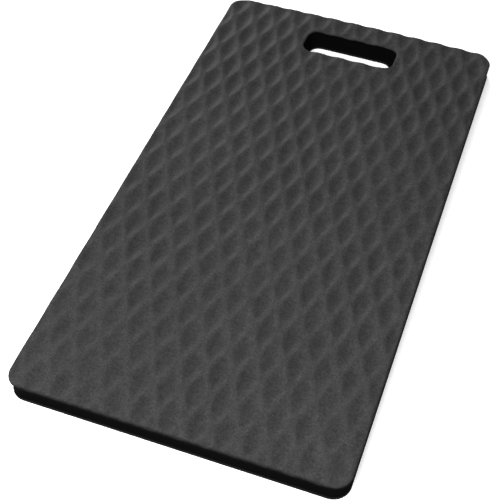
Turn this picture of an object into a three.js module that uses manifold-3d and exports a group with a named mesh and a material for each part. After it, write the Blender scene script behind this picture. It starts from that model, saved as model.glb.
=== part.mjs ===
// A kneeling pad: a slab of closed-cell foam with rounded corners, a hand slot along one short edge and a
// diamond net embossed in its upper face. It is a laminate of four sheets: an embossed face sheet, two core
// plies and a base sheet. Millimetres. X runs across the pad, Y along it towards the hand slot, and Z up.
// The origin is the centre of the underside.
import * as THREE from "three";
import { mergeVertices } from "three/addons/utils/BufferGeometryUtils.js";
import Module from "manifold-3d";

const wasm = await Module();
wasm.setup();

// Driving dimensions.
const INCH = 25.4;
const LENGTH = 21 * INCH;
const WIDTH = 11 * INCH;
const CORNER_R = 16;

// The sheets, from the ground up. Their sum is the pad's thickness, three quarters of an inch.
const BASE_T = 2;
const SUPPORT_T = 7;
const COMFORT_T = 7;
const FACE_T = 3;

// The cut walls stand back from the edge of the face sheet, which is the widest part of the pad. The sheets
// below it were laid up a little to one side.
const CORE_INSET = 1.7;
const BASE_INSET = 1;
const LOWER_SHIFT = 0.9;
const FACE_EDGE_R = 2.4;
const BASE_EDGE_R = 0.5;
const EDGE_STEPS = 3;
const CORNER_STEPS = 6;

// The hand slot. It is cut from above and narrows below the face sheet, by SLOT_TAPER on each side at the ground.
const SLOT_LENGTH = 94;
const SLOT_WIDTH = 32.5;
const SLOT_CORNER_R = 8.5;
const SLOT_TO_EDGE = 27.3;
const SLOT_Y = LENGTH / 2 - SLOT_TO_EDGE - SLOT_WIDTH / 2;
const SLOT_TAPER = 4.5;

// The emboss: long bowls between the ridges of a diamond net, which lies slightly askew on the pad.
const DIAMOND_WIDTH = 22.2;
const DIAMOND_LENGTH = 51;
const NET_TURN = THREE.MathUtils.degToRad(1.4);
const NET_CENTRE = new THREE.Vector2(11.1, 4.4);
const BOWL_WIDTH = 15;
const BOWL_LENGTH = 33;
const BOWL_DEPTH = 1.8;
const BOWL_SIDES = 8;
const BOWL_MARGIN = 2;

// How far a cutting tool runs past the surface that it cuts.
const OVERRUN = 2;

// A closed three.js geometry as a solid that can be cut.
function solidOf(geometry) {
  const bare = geometry.clone();
  bare.deleteAttribute("normal");
  bare.deleteAttribute("uv");
  const merged = mergeVertices(bare);
  return new wasm.Manifold(
    new wasm.Mesh({
      numProp: 3,
      vertProperties: merged.attributes.position.array,
      triVerts: new Uint32Array(merged.index.array),
    }),
  );
}

// A solid as a flat-shaded three.js geometry.
function geometryOf(solid) {
  const mesh = solid.getMesh();
  const indexed = new THREE.BufferGeometry()
    .setAttribute("position", new THREE.BufferAttribute(mesh.vertProperties, 3))
    .setIndex(new THREE.BufferAttribute(mesh.triVerts, 1));
  const geometry = indexed.toNonIndexed();
  geometry.computeVertexNormals();
  return geometry;
}

// Adds a rectangle with round corners, centred on (x, y), to a path.
function traceRoundRectangle(path, x, y, width, length, radius) {
  const left = x - width / 2 + radius;
  const right = x + width / 2 - radius;
  const low = y - length / 2 + radius;
  const high = y + length / 2 - radius;
  path.moveTo(left, low - radius);
  path.absarc(right, low, radius, -Math.PI / 2, 0, false);
  path.absarc(right, high, radius, 0, Math.PI / 2, false);
  path.absarc(left, high, radius, Math.PI / 2, Math.PI, false);
  path.absarc(left, low, radius, Math.PI, Math.PI * 1.5, false);
  return path;
}

// The pad's outline, drawn in by an inset and shifted across the pad.
function outline(inset, shift) {
  return traceRoundRectangle(
    new THREE.Shape(),
    shift,
    0,
    WIDTH - 2 * inset,
    LENGTH - 2 * inset,
    CORNER_R - inset,
  );
}

// The hand slot's outline, widened by grow on each side.
function slotOutline(grow) {
  const path = new THREE.Path();
  return traceRoundRectangle(path, 0, SLOT_Y, SLOT_LENGTH + 2 * grow, SLOT_WIDTH + 2 * grow, SLOT_CORNER_R);
}

// The corners of one ring of the slot's cutting tool, anticlockwise, without the point that closes it.
function slotRing(grow, z) {
  const points = slotOutline(grow).getPoints(CORNER_STEPS);
  const open = points.filter((point, k) => k === 0 || point.distanceTo(points[k - 1]) > 1e-6);
  if (open[0].distanceTo(open[open.length - 1]) < 1e-6) open.pop();
  return open.map((point) => [point.x, point.y, z]);
}

// The slot's cutting tool below the face sheet: wide at the core's upper face and narrow at the ground.
function slotCutter() {
  const top = BASE_T + SUPPORT_T + COMFORT_T;
  const slope = SLOT_TAPER / top;
  const lower = slotRing(-SLOT_TAPER - slope * OVERRUN, -OVERRUN);
  const upper = slotRing(slope * OVERRUN, top + OVERRUN);
  const count = lower.length;
  const index = [];
  for (let k = 0; k < count; k += 1) {
    const next = (k + 1) % count;
    index.push(k, next, count + next, k, count + next, count + k);
    if (k > 0 && k < count - 1) {
      index.push(0, k + 1, k, count, count + k, count + k + 1);
    }
  }
  return new THREE.BufferGeometry()
    .setAttribute("position", new THREE.Float32BufferAttribute([...lower, ...upper].flat(), 3))
    .setIndex(index);
}

// A core ply, from z up, with square edges and the tapered slot.
function corePly(z, thickness) {
  const geometry = new THREE.ExtrudeGeometry(outline(CORE_INSET, LOWER_SHIFT), {
    depth: thickness,
    bevelEnabled: false,
    curveSegments: CORNER_STEPS,
  });
  geometry.translate(0, 0, z);
  return geometryOf(solidOf(geometry).subtract(solidOf(slotCutter())));
}

// A sheet whose upper or lower edge is rounded: a sheet rounded on both faces, with the other face cut away.
function roundedSheet(shape, z, thickness, radius, roundTop) {
  const spare = radius + OVERRUN;
  const geometry = new THREE.ExtrudeGeometry(shape, {
    depth: thickness + spare - 2 * radius,
    bevelEnabled: true,
    bevelThickness: radius,
    bevelSize: radius,
    bevelOffset: -radius,
    bevelSegments: EDGE_STEPS,
    curveSegments: CORNER_STEPS,
  });
  geometry.translate(0, 0, (roundTop ? z - spare : z) + radius);
  const keep = new THREE.BoxGeometry(WIDTH * 2, LENGTH * 2, thickness);
  keep.translate(0, 0, z + thickness / 2);
  return solidOf(geometry).intersect(solidOf(keep));
}

// One bowl of the emboss as a cutting tool, with its rim at z = 0 and its lowest point on the Z axis.
function bowlCutter() {
  const slope = BOWL_DEPTH + OVERRUN;
  const grow = slope / BOWL_DEPTH;
  const cone = new THREE.ConeGeometry(1, slope, BOWL_SIDES);
  cone.rotateX(-Math.PI / 2);
  cone.scale((BOWL_WIDTH / 2) * grow, (BOWL_LENGTH / 2) * grow, 1);
  cone.translate(0, 0, slope / 2 - BOWL_DEPTH);
  return cone;
}

// Whether a bowl centred on (x, y) reaches the face by more than a sliver.
function bowlReachesFace(x, y) {
  const reachX = WIDTH / 2 + BOWL_WIDTH / 2 - BOWL_MARGIN;
  const reachY = LENGTH / 2 + BOWL_LENGTH / 2 - BOWL_MARGIN;
  return Math.abs(x) < reachX && Math.abs(y) < reachY;
}

// The centres of the bowls: a diamond net with one bowl in each mesh, turned by NET_TURN about NET_CENTRE.
function bowlCentres() {
  const centres = [];
  const rows = Math.ceil(LENGTH / DIAMOND_LENGTH) + 1;
  const columns = Math.ceil(WIDTH / DIAMOND_WIDTH) + 1;
  for (let row = -rows; row <= rows; row += 1) {
    for (let column = -columns; column <= columns; column += 1) {
      const stagger = (row % 2) / 2;
      const centre = new THREE.Vector2((column + stagger) * DIAMOND_WIDTH, (row * DIAMOND_LENGTH) / 2);
      centre.rotateAround(new THREE.Vector2(0, 0), NET_TURN).add(NET_CENTRE);
      if (bowlReachesFace(centre.x, centre.y)) centres.push(centre);
    }
  }
  return centres;
}

// The embossed face sheet.
function faceSheet() {
  const z = BASE_T + SUPPORT_T + COMFORT_T;
  const shape = outline(0, 0);
  shape.holes.push(slotOutline(0));
  let sheet = roundedSheet(shape, z, FACE_T, FACE_EDGE_R, true);
  for (const centre of bowlCentres()) {
    const bowl = bowlCutter();
    bowl.rotateZ(NET_TURN);
    bowl.translate(centre.x, centre.y, z + FACE_T);
    sheet = sheet.subtract(solidOf(bowl));
  }
  return geometryOf(sheet);
}

// The base sheet, which lies on the ground.
function baseSheet() {
  const sheet = roundedSheet(outline(BASE_INSET, LOWER_SHIFT), 0, BASE_T, BASE_EDGE_R, false);
  return geometryOf(sheet.subtract(solidOf(slotCutter())));
}

function mesh(name, geometry, color, roughness) {
  const material = new THREE.MeshStandardMaterial({ color, roughness, metalness: 0 });
  const made = new THREE.Mesh(geometry, material);
  made.name = name;
  return made;
}

const pad = new THREE.Group();
pad.add(mesh("top_skin", faceSheet(), 0x484848, 0.62));
pad.add(mesh("comfort_core", corePly(BASE_T + SUPPORT_T, COMFORT_T), 0x141414, 0.95));
pad.add(mesh("support_core", corePly(BASE_T, SUPPORT_T), 0x111111, 0.95));
pad.add(mesh("base_skin", baseSheet(), 0x1c1c1c, 0.8));

export default pad;
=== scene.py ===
"""A kneeling pad: four bonded sheets of closed-cell foam, with a diamond net embossed in the face sheet
and a hand slot along one short edge. Each CAD sheet is replaced by a finely shaped mesh in its place."""

import math

import bpy
import numpy as np
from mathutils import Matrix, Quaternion, Vector, geometry, noise


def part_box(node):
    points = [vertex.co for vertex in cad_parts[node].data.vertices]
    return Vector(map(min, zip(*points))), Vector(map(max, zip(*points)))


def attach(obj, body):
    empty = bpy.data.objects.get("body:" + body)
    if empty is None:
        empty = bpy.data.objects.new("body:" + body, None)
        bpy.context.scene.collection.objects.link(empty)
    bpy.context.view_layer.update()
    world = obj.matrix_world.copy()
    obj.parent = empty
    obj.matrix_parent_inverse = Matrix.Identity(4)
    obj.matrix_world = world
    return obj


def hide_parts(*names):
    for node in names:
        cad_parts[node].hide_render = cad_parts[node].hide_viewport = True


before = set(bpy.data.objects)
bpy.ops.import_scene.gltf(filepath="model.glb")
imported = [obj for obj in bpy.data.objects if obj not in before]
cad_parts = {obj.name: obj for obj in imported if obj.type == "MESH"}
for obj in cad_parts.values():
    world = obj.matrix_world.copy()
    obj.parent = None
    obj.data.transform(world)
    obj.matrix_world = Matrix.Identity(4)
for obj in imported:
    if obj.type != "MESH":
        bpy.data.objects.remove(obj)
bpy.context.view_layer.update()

MM = 0.001  # the script's lengths are in millimetres until a mesh or a material is made

# The outline, in millimetres. The overall size comes from the frame.
FACE_LOW, FACE_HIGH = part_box("top_skin")
WIDTH = (FACE_HIGH.x - FACE_LOW.x) / MM
LENGTH = (FACE_HIGH.y - FACE_LOW.y) / MM
TOP = FACE_HIGH.z / MM
CORNER_R = 16.0
SLOT_LENGTH = 94.0
SLOT_WIDTH = 32.5
SLOT_CORNER_R = 10.0
SLOT_TO_EDGE = 27.3
SLOT_Y = LENGTH / 2 - SLOT_TO_EDGE - SLOT_WIDTH / 2
SLOT_TAPER = 4.5  # how much further in the slot's wall is at the ground than under the face sheet
FAR_EDGE_BOW = 2.6  # how far the corners beside the slot stand back from the middle of that edge

# The emboss, in millimetres: long bowls between the ridges of a diamond net that lies slightly askew.
DIAMOND_WIDTH = 22.2
DIAMOND_LENGTH = 51.0
NET_TURN = math.radians(1.4)
NET_CENTRE = (11.1, 4.4)
BOWL_DEPTH = 1.9
LAND_SAG = 0.15  # how far the net itself sags towards the bowls
RIM_LEVEL = 0.06  # where a bowl's flank starts, between the ridge (0) and the middle of the bowl (1)
TOE_LEVEL = 0.9  # where the flank ends and the floor starts
PIT_SHARE = 0.25  # how much of a bowl's depth is the dip in its middle
CREST = 0.07  # how round the ridges are, as a share of a bowl
RIM_SHARE = 0.65  # how much of the emboss is left at the rim
RIM_FADE = 6.0  # over how wide a strip it weakens
UNEVENNESS = 0.3  # how unlike one another the bowls are
CRUMPLE = 0.1  # the mean depth of the skin's fine crumple
CRUMPLE_SIZE = 6.0
CRUMPLE_STRETCH = 1.6  # how much longer it is along the pad than across it

# The edges and walls of the sheets, in millimetres.
FACE_EDGE_R = 2.4
LIP_FOOT = ((0.05, 0.45), (0.35, 0.03))  # inward from the edge, above the sheet's underside
CORE_DISH = 0.7  # how far the cut walls are dished at half their height
SEAM_R = 0.35  # how soft the edges of a core ply are
RIPPLE = 0.16  # how uneven the cut walls are
RIPPLE_SIZE = 9.0
BASE_EDGE_R = 0.4
BASE_TOP = ((0.0, 0.5), (0.25, 0.03))  # inward from the edge, below the sheet's upper side
PLY_GAP = 0.03  # how far a core ply stays below the sheet above it

# The meshes. The grid's steps go to half a diamond, so that every ridge runs through its vertices.
NET_STEPS = 12
RING_STEP = 1.35
CORNER_STEPS = 14
ROUND_STEPS = 8
WALL_STEP = 0.7
FLAT_RINGS = (5.6, 4.9, 4.2, 3.6, 3.0)  # rings between the grid and the lip, by distance from the edge
GRID_CLEAR = FLAT_RINGS[0] + 1.2
UNDER_RINGS = (1.5, 0.4)  # rings of the flat underside, inward from where its edge turns up


# ---- outlines ------------------------------------------------------------------------------------

def round_rectangle(width, length, radius, centre_y, straight_x, straight_y, corner_steps):
    """Points round a rectangle with round corners, anticlockwise, as an array of x and y."""
    half_x, half_y = width / 2 - radius, length / 2 - radius
    sides = (
        ((-half_x, -half_y - radius), (half_x, -half_y - radius), straight_x),
        ((half_x + radius, -half_y), (half_x + radius, half_y), straight_y),
        ((half_x, half_y + radius), (-half_x, half_y + radius), straight_x),
        ((-half_x - radius, half_y), (-half_x - radius, -half_y), straight_y),
    )
    centres = ((half_x, -half_y), (half_x, half_y), (-half_x, half_y), (-half_x, -half_y))
    points = []
    for k in range(4):
        (start, end, steps), (cx, cy) = sides[k], centres[k]
        along = np.arange(steps)[:, None] / steps
        points.append(np.array(start) * (1 - along) + np.array(end) * along)
        turn = (k - 1 + np.arange(corner_steps) / corner_steps) * math.pi / 2
        points.append(np.c_[cx + radius * np.cos(turn), cy + radius * np.sin(turn)])
    return np.vstack(points) + (0, centre_y)


def rim(inset):
    """The pad's outline, drawn in by inset. Every inset gives the same number of points."""
    return round_rectangle(
        WIDTH - 2 * inset, LENGTH - 2 * inset, CORNER_R - inset, 0,
        round(WIDTH / RING_STEP), round(LENGTH / RING_STEP), CORNER_STEPS,
    )


def slot_rim(inset):
    """The hand slot's outline, widened by inset. Its corners keep their radius where it narrows."""
    return round_rectangle(
        SLOT_LENGTH + 2 * inset, SLOT_WIDTH + 2 * inset, SLOT_CORNER_R + max(0.0, inset), SLOT_Y,
        round(SLOT_LENGTH / RING_STEP), round(SLOT_WIDTH / RING_STEP), CORNER_STEPS // 2,
    )


def from_edge(x, y, width, length, radius, centre_y):
    """How far a point is inside a rectangle with round corners, negative outside it."""
    px = np.abs(x) - (width / 2 - radius)
    py = np.abs(y - centre_y) - (length / 2 - radius)
    outside = np.hypot(np.maximum(px, 0), np.maximum(py, 0))
    return radius - outside - np.minimum(np.maximum(px, py), 0)


def clearance(x, y):
    """How far a point of the face is from the nearest edge, of the pad or of the slot."""
    outer = from_edge(x, y, WIDTH, LENGTH, CORNER_R, 0)
    inner = -from_edge(x, y, SLOT_LENGTH, SLOT_WIDTH, SLOT_CORNER_R, SLOT_Y)
    return np.minimum(outer, inner)


def bowed(points):
    """Points of the pad with the edge beside the slot bowed: its corners stand back a little."""
    made = np.array(points, float)
    share = np.clip(made[:, 1] / (LENGTH / 2), 0, 1) ** 3
    made[:, 1] -= FAR_EDGE_BOW * share * (made[:, 0] / (WIDTH / 2)) ** 2
    return made


# ---- the emboss ----------------------------------------------------------------------------------

def net_point(p, q):
    """Where grid point (p, q) of the emboss lies on the pad, in millimetres."""
    x, y = p * DIAMOND_WIDTH / 2 / NET_STEPS, q * DIAMOND_LENGTH / 2 / NET_STEPS
    cos, sin = math.cos(NET_TURN), math.sin(NET_TURN)
    return np.stack([x * cos - y * sin + NET_CENTRE[0], x * sin + y * cos + NET_CENTRE[1]], -1)


def ridge_to_bowl(phase):
    """0 on a ridge and 1 midway between two ridges, with a rounded crest."""
    wave = np.sqrt(np.cos(math.pi * phase) ** 2 + CREST ** 2)
    return (wave - CREST) / (math.sqrt(1 + CREST ** 2) - CREST)


def emboss(points):
    """How deep the emboss is at points of the pad: scooped bowls with a soft rim, in a sagging net."""
    x, y = points[:, 0] - NET_CENTRE[0], points[:, 1] - NET_CENTRE[1]
    cos, sin = math.cos(NET_TURN), math.sin(NET_TURN)
    across = (x * cos + y * sin) / DIAMOND_WIDTH
    along = (y * cos - x * sin) / DIAMOND_LENGTH
    level = ridge_to_bowl(across + along) * ridge_to_bowl(across - along)
    down = np.clip((level - RIM_LEVEL) / (TOE_LEVEL - RIM_LEVEL), 0, 1)
    flank = down * (1 + down - down ** 2)
    return LAND_SAG * level + BOWL_DEPTH * ((1 - PIT_SHARE) * flank + PIT_SHARE * level ** 3)


# ---- meshes --------------------------------------------------------------------------------------

def enclosed(points, starts, ends):
    """Whether each point has an odd number of the edges to its right, and so lies inside their loops."""
    made = np.zeros(len(points), bool)
    for (x0, y0), (x1, y1) in zip(starts, ends):
        if y0 != y1:
            level = (points[:, 1] > y0) != (points[:, 1] > y1)
            made ^= level & (points[:, 0] < x0 + (points[:, 1] - y0) * (x1 - x0) / (y1 - y0))
    return made


class Mesh:
    """Vertices in millimetres and faces, gathered piece by piece."""

    def __init__(self):
        self.points, self.faces, self.count = [], [], 0

    def add(self, points):
        """Adds an array of points and returns their numbers."""
        self.points.append(np.asarray(points, float))
        first = self.count
        self.count += len(points)
        return np.arange(first, self.count)

    def ring(self, outline, z):
        """Adds an outline at one height and returns its points' numbers."""
        return self.add(np.c_[outline, np.full(len(outline), z)])

    def bridge(self, lower, upper):
        """A band of quads from one closed ring to the next, both anticlockwise, facing out."""
        after_lower, after_upper = np.roll(lower, -1), np.roll(upper, -1)
        self.faces += np.stack([lower, after_lower, after_upper, upper], 1).tolist()

    def stack(self, rings):
        """Bridges each ring to the next."""
        for lower, upper in zip(rings, rings[1:]):
            self.bridge(lower, upper)

    def fill(self, loops, facing_up):
        """Triangles between closed loops: inside the first, outside the second, and so on."""
        table = np.vstack(self.points)
        numbers = np.concatenate(loops)
        edges, start = [], 0
        for loop in loops:
            steps = np.arange(len(loop))
            edges += np.stack([start + steps, start + (steps + 1) % len(loop)], 1).tolist()
            start += len(loop)
        flat = [Vector(point) for point in table[numbers, :2].tolist()]
        made = geometry.delaunay_2d_cdt(flat, edges, [], 1, 1e-6, True)
        places, triangles = np.array([tuple(v) for v in made[0]]), np.array(made[2])
        back = np.array([numbers[origin[0]] for origin in made[3]])
        a, b, c = (places[triangles[:, k]] for k in range(3))
        ends = table[numbers, :2][np.array(edges)]
        keep = enclosed((a + b + c) / 3, ends[:, 0], ends[:, 1])
        turn = (b - a)[:, 0] * (c - a)[:, 1] - (b - a)[:, 1] * (c - a)[:, 0]
        wrong = (turn > 0) != facing_up
        triangles[wrong] = triangles[wrong][:, ::-1]
        self.faces += back[triangles[keep]].tolist()

    def build(self, name):
        """The Blender object, in metres and with the bowed edge."""
        table = bowed(np.vstack(self.points)) * MM
        mesh = bpy.data.meshes.new(name)
        mesh.from_pydata(table.tolist(), [], self.faces)
        mesh.validate()
        mesh.shade_smooth()
        made = bpy.data.objects.new(name, mesh)
        bpy.context.scene.collection.objects.link(made)
        return made


def boundary_loops(cells):
    """The closed loops of grid corners round the true cells of a grid, anticlockwise about the cells."""
    steps = {}
    padded_cells = np.pad(cells, 1)
    inside = padded_cells[1:-1, 1:-1]
    sides = (
        (padded_cells[1:-1, :-2], (0, 0), (1, 0)),
        (padded_cells[2:, 1:-1], (1, 0), (1, 1)),
        (padded_cells[1:-1, 2:], (1, 1), (0, 1)),
        (padded_cells[:-2, 1:-1], (0, 1), (0, 0)),
    )
    for neighbour, start, end in sides:
        for i, j in np.argwhere(inside & ~neighbour).tolist():
            steps.setdefault((i + start[0], j + start[1]), []).append((i + end[0], j + end[1]))
    loops = []
    while steps:
        first = here = next(iter(steps))
        loop = []
        while True:
            loop.append(here)
            following = steps[here].pop()
            if not steps[here]:
                del steps[here]
            here = following
            if here == first:
                break
        loops.append(loop)
    return loops


def add_grid(mesh, clear, height):
    """Adds the grid of the emboss wherever it is clear of the edges, and returns the loops round it."""
    reach_p = math.ceil(WIDTH / DIAMOND_WIDTH * NET_STEPS) + NET_STEPS
    reach_q = math.ceil(LENGTH / DIAMOND_LENGTH * NET_STEPS) + NET_STEPS
    p, q = np.meshgrid(np.arange(-reach_p, reach_p), np.arange(-reach_q, reach_q), indexing="ij")
    place = net_point(p, q)
    free = clearance(place[..., 0], place[..., 1]) > clear
    cells = free[:-1, :-1] & free[1:, :-1] & free[1:, 1:] & free[:-1, 1:]
    used = np.zeros(free.shape, bool)
    for shift in ((0, 0), (1, 0), (1, 1), (0, 1)):
        used[shift[0]:free.shape[0] - 1 + shift[0], shift[1]:free.shape[1] - 1 + shift[1]] |= cells
    flat = place[used]
    number = np.full(free.shape, -1)
    number[used] = mesh.add(np.c_[flat, height(flat)])
    i, j = np.nonzero(cells)
    mesh.faces += np.stack(
        [number[i, j], number[i + 1, j], number[i + 1, j + 1], number[i, j + 1]], 1
    ).tolist()
    return [np.array([number[at] for at in loop]) for loop in boundary_loops(cells)]


# ---- the four sheets -----------------------------------------------------------------------------

def node_span(node):
    """A CAD sheet's lowest and highest z, its set-back from the face sheet, and the x of its middle."""
    low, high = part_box(node)
    inset = (WIDTH - (high.x - low.x) / MM) / 2
    return low.z / MM, high.z / MM, inset, (high.x + low.x) / 2 / MM


def slot_growth(z):
    """How much wider the slot is on each side than just under the face sheet. It tapers in."""
    top = node_span("comfort_core")[1]
    return -SLOT_TAPER * max(0.0, top - z) / top


def uneven(points):
    """A slow unevenness over the pad, from -1 to 1: no two bowls are pressed quite alike."""
    x, y = points[:, 0], points[:, 1]
    return (
        np.sin(x / 31.0 + 1.3) * np.sin(y / 43.0 + 0.4)
        + 0.6 * np.sin(x / 13.7 - y / 19.3 + 2.1) * np.sin(y / 11.9 + x / 37.0)
    ) / 1.6


def crumple(points):
    """A fine, irregular dip of the pressed skin."""
    return np.array([
        CRUMPLE * (1 + noise.noise(Vector((x / CRUMPLE_SIZE, y / CRUMPLE_SIZE / CRUMPLE_STRETCH, 0.0))))
        for x, y in points
    ])


def face_height(points, base, low):
    """The height of points of the face sheet whose height would be base with no emboss."""
    inside = np.clip(clearance(points[:, 0], points[:, 1]) / RIM_FADE, 0, 1)
    share = RIM_SHARE + (1 - RIM_SHARE) * inside
    depth = emboss(points) * share * (1 + UNEVENNESS * uneven(points)) + crumple(points)
    return base - depth * (base - low) / (TOP - low)


def face_sheet():
    """The face sheet: a grid of bowls, and rings that carry them over the lip outside and in the slot."""
    low, high = node_span("top_skin")[:2]
    mesh = Mesh()
    section = [(flat, high) for flat in FLAT_RINGS]
    for k in range(ROUND_STEPS + 1):
        turn = k / ROUND_STEPS * math.pi / 2
        section.append((FACE_EDGE_R * (1 - math.sin(turn)), high - FACE_EDGE_R * (1 - math.cos(turn))))
    section += [(inward, low + above) for inward, above in LIP_FOOT]

    def rings(outline):
        """The section taken round an outline, from the grid to the foot of the lip."""
        made = []
        for inward, base in section:
            points = outline(inward)
            made.append(mesh.add(np.c_[points, face_height(points, base, low)]))
        return made

    outer, inner = rings(rim), rings(slot_rim)
    mesh.stack(outer[::-1])
    mesh.stack(inner)
    loops = add_grid(mesh, GRID_CLEAR, lambda points: face_height(points, high, low))
    mesh.fill([outer[0], inner[0], *loops], True)
    mesh.fill([outer[-1], inner[-1]], False)
    return mesh.build("embossed_face")


def rippled(outline, z):
    """A ring of a cut wall, a little uneven as foam is when a die goes through it."""
    after, before = np.roll(outline, -1, 0), np.roll(outline, 1, 0)
    along = after - before
    out = np.c_[along[:, 1], -along[:, 0]] / np.linalg.norm(along, axis=1)[:, None]
    size = [
        noise.noise(Vector((x / RIPPLE_SIZE, y / RIPPLE_SIZE, z / RIPPLE_SIZE * 0.5)))
        for x, y in outline
    ]
    return outline + out * np.array(size)[:, None] * RIPPLE


def core_ply(node, name):
    """A core ply: its cut walls are dished over the height of both plies, and its edges are soft."""
    low, high, inset, side = node_span(node)
    core_low, core_high = node_span("support_core")[0], node_span("comfort_core")[1]
    middle, half = (core_low + core_high) / 2, (core_high - core_low) / 2
    mesh = Mesh()
    steps = round((high - low - 2 * SEAM_R) / WALL_STEP)
    section = [(SEAM_R, low), (SEAM_R * 0.3, low + SEAM_R * 0.3)]
    section += [(0, low + SEAM_R + (high - low - 2 * SEAM_R) * k / steps) for k in range(steps + 1)]
    section += [(SEAM_R * 0.3, high - PLY_GAP - SEAM_R * 0.3), (SEAM_R, high - PLY_GAP)]
    outer, inner = [], []
    for back, z in section:
        dish = CORE_DISH * (1 - ((z - middle) / half) ** 2)
        outer.append(mesh.ring(rippled(rim(inset + back + dish) + (side, 0), z), z))
        inner.append(mesh.ring(rippled(slot_rim(slot_growth(z) + back), z), z))
    mesh.stack(outer)
    mesh.stack(inner[::-1])
    mesh.fill([outer[-1], inner[-1]], True)
    mesh.fill([outer[0], inner[0]], False)
    return mesh.build(name)


def base_sheet():
    """The base sheet: flat, with its lower edge a little round."""
    low, high, inset, side = node_span("base_skin")
    mesh = Mesh()
    section = [(BASE_EDGE_R + inward, low) for inward in UNDER_RINGS]
    for k in range(ROUND_STEPS + 1):
        turn = k / ROUND_STEPS * math.pi / 2
        section.append((BASE_EDGE_R * (1 - math.sin(turn)), low + BASE_EDGE_R * (1 - math.cos(turn))))
    section += [(inward, high - below) for inward, below in BASE_TOP]
    outer = [mesh.ring(rim(inset + back) + (side, 0), z) for back, z in section]
    inner = [mesh.ring(slot_rim(slot_growth(z) + back), z) for back, z in section]
    mesh.stack(outer)
    mesh.stack(inner[::-1])
    mesh.fill([outer[-1], inner[-1]], True)
    mesh.fill([outer[0], inner[0]], False)
    return mesh.build("base_sheet")


# ---- materials -----------------------------------------------------------------------------------

class Nodes:
    """A material's node tree, with short calls for the nodes that these materials use."""

    def __init__(self, name):
        self.material = bpy.data.materials.new(name)
        self.material.use_nodes = True
        self.tree = self.material.node_tree
        self.shader = self.tree.nodes["Principled BSDF"]
        self.place = self.tree.nodes.new("ShaderNodeTexCoord").outputs["Object"]

    def link(self, value, socket):
        """Links a socket to an input, or sets the input to a constant."""
        if isinstance(value, bpy.types.NodeSocket):
            self.tree.links.new(value, socket)
        else:
            socket.default_value = value

    def math(self, operation, a, b=0.0):
        node = self.tree.nodes.new("ShaderNodeMath")
        node.operation = operation
        self.link(a, node.inputs[0])
        self.link(b, node.inputs[1])
        return node.outputs[0]

    def noise(self, size, detail=2.0, roughness=0.5):
        """Noise whose largest features are about size metres across."""
        node = self.tree.nodes.new("ShaderNodeTexNoise")
        node.inputs["Scale"].default_value = 1 / size
        node.inputs["Detail"].default_value = detail
        node.inputs["Roughness"].default_value = roughness
        self.link(self.place, node.inputs["Vector"])
        return node.outputs["Fac"]

    def cells(self, size):
        """Distance to the middle of the nearest of a field of cells about size metres across."""
        node = self.tree.nodes.new("ShaderNodeTexVoronoi")
        node.inputs["Scale"].default_value = 1 / size
        self.link(self.place, node.inputs["Vector"])
        return node.outputs["Distance"]

    def ranged(self, value, low, high, to_low, to_high, smooth=False):
        """A value's place between low and high, taken to the same place between to_low and to_high."""
        node = self.tree.nodes.new("ShaderNodeMapRange")
        node.interpolation_type = "SMOOTHSTEP" if smooth else "LINEAR"
        for socket, v in zip(node.inputs, (value, low, high, to_low, to_high)):
            self.link(v, socket)
        return node.outputs["Result"]

    def along(self, axis):
        """The place along an axis, in metres."""
        node = self.tree.nodes.new("ShaderNodeSeparateXYZ")
        self.link(self.place, node.inputs[0])
        return node.outputs[axis]

    def from_end(self):
        """How far a point is inside the nearer end of the pad, in metres."""
        return self.math("SUBTRACT", LENGTH / 2 * MM, self.math("ABSOLUTE", self.along("Y")))

    def facing_up(self):
        """1 where the surface faces up, 0 where it is upright and -1 where it faces down."""
        surface = self.tree.nodes.new("ShaderNodeNewGeometry")
        node = self.tree.nodes.new("ShaderNodeSeparateXYZ")
        self.link(surface.outputs["True Normal"], node.inputs[0])
        return node.outputs["Z"]

    def tone(self, share, dark, light):
        """A colour between two, by share from 0 to 1."""
        node = self.tree.nodes.new("ShaderNodeMix")
        node.data_type = "RGBA"
        self.link(share, node.inputs["Factor"])
        node.inputs[6].default_value = (*dark, 1)
        node.inputs[7].default_value = (*light, 1)
        return node.outputs[2]

    def scaled(self, colour, factor):
        """A colour times a factor. Either may be constant."""
        node = self.tree.nodes.new("ShaderNodeVectorMath")
        node.operation = "SCALE"
        self.link(colour, node.inputs[0])
        self.link(factor, node.inputs["Scale"])
        return node.outputs[0]

    def bump(self, height, strength, distance):
        """Fine relief on the shader's normal. The distance is in metres."""
        node = self.tree.nodes.new("ShaderNodeBump")
        node.inputs["Strength"].default_value = strength
        node.inputs["Distance"].default_value = distance
        self.link(height, node.inputs["Height"])
        self.link(node.outputs["Normal"], self.shader.inputs["Normal"])

    def finish(self, colour, roughness, specular):
        """Sets the shader and returns the material."""
        self.link(colour, self.shader.inputs["Base Color"])
        self.link(roughness, self.shader.inputs["Roughness"])
        self.shader.inputs["Specular IOR Level"].default_value = specular
        return self.material


BOWL_TONE = (0.0312, 0.0312, 0.0315)
RIDGE_TONE = (0.0385, 0.0385, 0.0389)
PAINTED_SHADE_UPRIGHT_SHARE = 0.1  # how much of the skin's tone the painted shade leaves where it turns down to the wall
END_PAINTED_SHADE = 2.6  # how far in from the pad's ends the skin is darkened by painted shade, in millimetres
END_PAINTED_SHADE_SHARE = 0.35  # how much of its tone the painted shade leaves at the very end
# The core plies' black cut foam, set darker than real black foam, which reflects a few per cent: painted
# shade on the cut walls.
SOFT_BLACK_AND_PAINTED_SHADE = (0.0016, 0.0016, 0.0016)
FIRM_BLACK_AND_PAINTED_SHADE = (0.0015, 0.0015, 0.0015)
BASE_TONES = ((0.008, 0.008, 0.008), (0.018, 0.018, 0.018))


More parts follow.
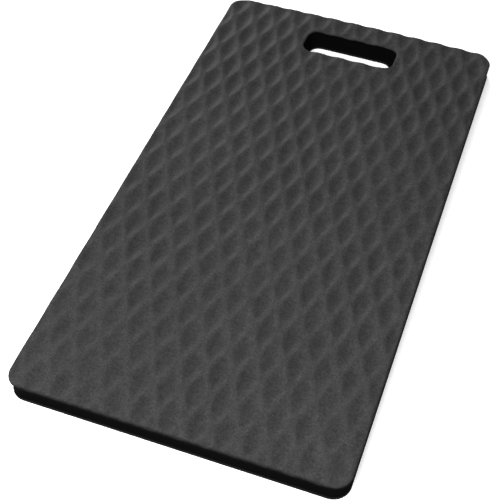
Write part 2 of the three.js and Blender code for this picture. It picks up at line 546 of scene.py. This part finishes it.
def face_material():
    """Charcoal foam skin with a fine grain, darker where it is pressed down, with painted shade where it
    turns down and along the pad's two ends.
    """
    n = Nodes("embossed_foam_skin")
    raised = n.ranged(n.along("Z"), (TOP - BOWL_DEPTH - LAND_SAG) * MM, TOP * MM, 0, 1)
    grain = n.noise(1.7 * MM, 4, 0.8)
    blotch = n.noise(7 * MM, 3, 0.55)
    drift = n.noise(90 * MM, 2)
    colour = n.tone(raised, BOWL_TONE, RIDGE_TONE)
    colour = n.scaled(colour, n.ranged(grain, 0.3, 0.7, 0.52, 1.48))
    colour = n.scaled(colour, n.ranged(blotch, 0.3, 0.7, 0.87, 1.13))
    colour = n.scaled(colour, n.ranged(drift, 0.3, 0.7, 0.96, 1.04))
    # painted shade where the skin turns down over the lip to the wall
    colour = n.scaled(colour, n.ranged(n.facing_up(), 0.1, 0.85, PAINTED_SHADE_UPRIGHT_SHARE, 1, True))
    # painted shade along the pad's two ends, where the lip turns down
    colour = n.scaled(colour, n.ranged(n.from_end(), 0.2 * MM, END_PAINTED_SHADE * MM, END_PAINTED_SHADE_SHARE, 1, True))
    roughness = n.ranged(blotch, 0.3, 0.7, 0.36, 0.44)
    pores = n.cells(0.9 * MM)
    n.bump(n.math("ADD", grain, n.math("MULTIPLY", pores, 0.5)), 0.5, 0.16 * MM)
    return n.finish(colour, roughness, 0.006)


def cut_foam_material(name, tone, cell):
    """Black closed-cell foam where a die has cut it, its tone set darker than real black foam as painted
    shade on the cut walls, and darker in the middle of each open cell as painted shade.
    """
    n = Nodes(name)
    cells = n.cells(cell)
    fine = n.noise(cell * 2.5, 4, 0.6)
    # painted shade in the hollow middle of each open cell
    shade = n.ranged(cells, 0.0, 0.7, 0.7, 1.3)
    colour = n.tone(fine, [0.7 * c for c in tone], [1.3 * c for c in tone])
    colour = n.scaled(colour, shade)
    n.bump(n.math("ADD", cells, n.math("MULTIPLY", fine, 0.6)), 0.6, cell * 0.35)
    return n.finish(colour, n.ranged(fine, 0.3, 0.7, 0.88, 0.98), 0.01)


def base_material():
    """The pebbled black skin of the underside, and its cut edge, darkened to the core's tone: black cut
    foam with painted shade.
    """
    n = Nodes("base_foam_skin")
    pebbles = n.cells(1.6 * MM)
    fine = n.noise(0.8 * MM, 3, 0.6)
    drift = n.noise(60 * MM, 3)
    colour = n.tone(n.ranged(pebbles, 0.05, 0.65, 1, 0), *BASE_TONES)
    # painted shade on the cut edge: only a tenth of the skin's tone is left where it does not face down
    colour = n.scaled(colour, n.ranged(n.facing_up(), -0.995, -0.97, 1, 0.1))
    colour = n.scaled(colour, n.ranged(drift, 0.3, 0.7, 0.85, 1.15))
    n.bump(n.math("SUBTRACT", n.math("MULTIPLY", fine, 0.3), pebbles), 0.8, 0.25 * MM)
    return n.finish(colour, n.ranged(fine, 0.3, 0.7, 0.7, 0.85), 0.15)


# ---- stage ---------------------------------------------------------------------------------------

FLOOR_TONE = (0.86, 0.86, 0.86)
FLOOR_GLOW = 0.52  # a white sweep, lit a little from below
FLOOR_SIZE = 8
FLOOR_DROP = 0.0004


def add_floor():
    """A plain pale floor, just under the pad."""
    bpy.ops.mesh.primitive_plane_add(size=FLOOR_SIZE, location=(0, 0, -FLOOR_DROP))
    floor = bpy.context.object
    floor.name = "floor"
    n = Nodes("pale_floor")
    drift = n.noise(0.5, 3)
    n.shader.inputs["Emission Color"].default_value = (1, 1, 1, 1)
    n.shader.inputs["Emission Strength"].default_value = FLOOR_GLOW
    colour = n.scaled(FLOOR_TONE, n.ranged(drift, 0, 1, 0.99, 1.01))
    floor.data.materials.append(n.finish(colour, 0.9, 0.1))


def add_softbox(name, place, size, power, aim):
    """A rectangular area light. Places and sizes are in metres and power is in watts."""
    light = bpy.data.lights.new(name, "AREA")
    light.shape = "RECTANGLE"
    light.size, light.size_y = size
    light.energy = power
    lamp = bpy.data.objects.new(name, light)
    lamp.location = place
    lamp.rotation_mode = "QUATERNION"
    lamp.rotation_quaternion = (Vector(aim) - Vector(place)).to_track_quat("-Z", "Y")
    bpy.context.scene.collection.objects.link(lamp)


def add_world(strength):
    """An even white surround."""
    world = bpy.data.worlds.new("studio")
    world.use_nodes = True
    world.node_tree.nodes["Background"].inputs["Color"].default_value = (1, 1, 1, 1)
    world.node_tree.nodes["Background"].inputs["Strength"].default_value = strength
    bpy.context.scene.world = world


CAMERA_PLACE = (0.1918, -0.6771, 0.7420)
CAMERA_AIM = (-0.0044, -0.0711, 0.0190)
CAMERA_ROLL = math.radians(2.0)
CAMERA_LENS = 81.0


def add_camera():
    """A longish lens, looking down the pad towards the slot from the near right."""
    data = bpy.data.cameras.new("camera")
    data.lens = CAMERA_LENS
    data.sensor_width = 36
    camera = bpy.data.objects.new("camera", data)
    camera.location = CAMERA_PLACE
    camera.rotation_mode = "QUATERNION"
    look = (Vector(CAMERA_AIM) - Vector(CAMERA_PLACE)).to_track_quat("-Z", "Y")
    camera.rotation_quaternion = look @ Quaternion((0, 0, 1), CAMERA_ROLL)
    bpy.context.scene.collection.objects.link(camera)
    bpy.context.scene.camera = camera


def add_piece(piece, node, material):
    """Gives a sheet its material, hangs it under the root body and hides the CAD sheet it stands for."""
    piece.data.materials.append(material)
    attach(piece, "root")
    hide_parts(node)


add_piece(face_sheet(), "top_skin", face_material())
add_piece(
    core_ply("comfort_core", "comfort_ply"), "comfort_core",
    cut_foam_material("soft_foam", SOFT_BLACK_AND_PAINTED_SHADE, 0.8 * MM),
)
add_piece(
    core_ply("support_core", "support_ply"), "support_core",
    cut_foam_material("firm_foam", FIRM_BLACK_AND_PAINTED_SHADE, 0.6 * MM),
)
add_piece(base_sheet(), "base_skin", base_material())

add_floor()
add_softbox("front", (-0.17, -0.91, 0.95), (0.75, 0.5), 24, (0, -0.2, 0))
add_softbox("back_left", (-1.5, 2.05, 0.9), (1.0, 0.6), 74, (0, 0, 0))
add_world(0.27)
add_camera()
bpy.context.scene.view_settings.view_transform = "Standard"
